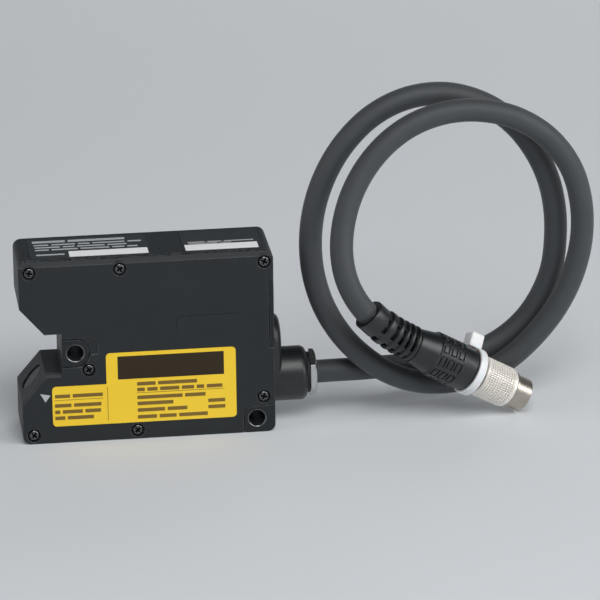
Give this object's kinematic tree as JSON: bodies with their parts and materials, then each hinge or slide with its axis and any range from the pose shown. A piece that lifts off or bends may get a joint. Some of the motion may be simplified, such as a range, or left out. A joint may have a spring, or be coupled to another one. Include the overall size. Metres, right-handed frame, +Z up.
{
  "type": "laser displacement sensor",
  "caption": "Upright box-shaped laser distance head with a notch between two slanted optical windows, a screwed front cover, a side cable gland and a coiled cable to a round push-pull plug",
  "frame": {"origin": "middle of the housing's base face, on the floor", "axes": "+X towards the cable side, -Y out of the front cover, +Z up"},
  "size_m": [0.1701, 0.0328, 0.0984],
  "materials": {
    "housing_paint": "satin",
    "cover_paint": "satin",
    "gasket_rubber": "matte",
    "screw_black": "black oxide",
    "window_glass": "polished",
    "lens_glass": "polished",
    "brass": "turned",
    "barrel_black": "black anodised",
    "chip_black": "matte",
    "board_green": "solder mask",
    "steel": "plain",
    "header_plastic": "moulded",
    "wire_insulation": "extruded",
    "seal_rubber": "matte",
    "nickel": "nickel plated",
    "cable_jacket": "matte",
    "boot_rubber": "satin",
    "knurl_nickel": "knurled",
    "insert_plastic": "moulded",
    "gold": "gold plated",
    "tie_nylon": "moulded",
    "label_yellow": "printed film",
    "label_dark": "printed film",
    "plate_dark": "blank film"
  },
  "bodies": {
    "sensor": {"housing": "housing_paint", "front_cover": "cover_paint", "cover_gasket": "gasket_rubber", "cover_screws": "screw_black", "emitter_window": "window_glass", "receiver_window": "window_glass", "emitter_barrel": "brass", "collimator_lens": "lens_glass", "laser_diode": "gold", "receiver_barrel": "barrel_black", "receiver_lens": "lens_glass", "image_sensor": "chip_black", "sensor_board": "board_green", "main_board": "board_green", "board_chips": "chip_black", "board_screws": "steel", "wire_header": "header_plastic", "lead_wires": "wire_insulation", "gland_flange": "housing_paint", "flange_screws": "steel", "gland_seal": "seal_rubber", "gland_ring": "seal_rubber", "gland_nut": "nickel", "cable": "cable_jacket", "plug_boot": "boot_rubber", "plug_shell": "nickel", "plug_insert": "insert_plastic", "contact_pins": "gold", "cable_tie": "tie_nylon", "front_label": "label_yellow", "top_label_a": "label_dark", "top_label_b": "label_dark", "name_plate": "plate_dark"},
    "sleeve": {"coupling_sleeve": "knurl_nickel"}
  },
  "joints": [
    {"name": "sleeve_slide", "type": "slide", "parent": "sensor", "child": "sleeve", "axis": [-0.8428, -0.1791, 0.5075], "range_m": [0, 0.001], "stiffness_N_per_m": 400, "springref_m": -0.002}
  ]
}
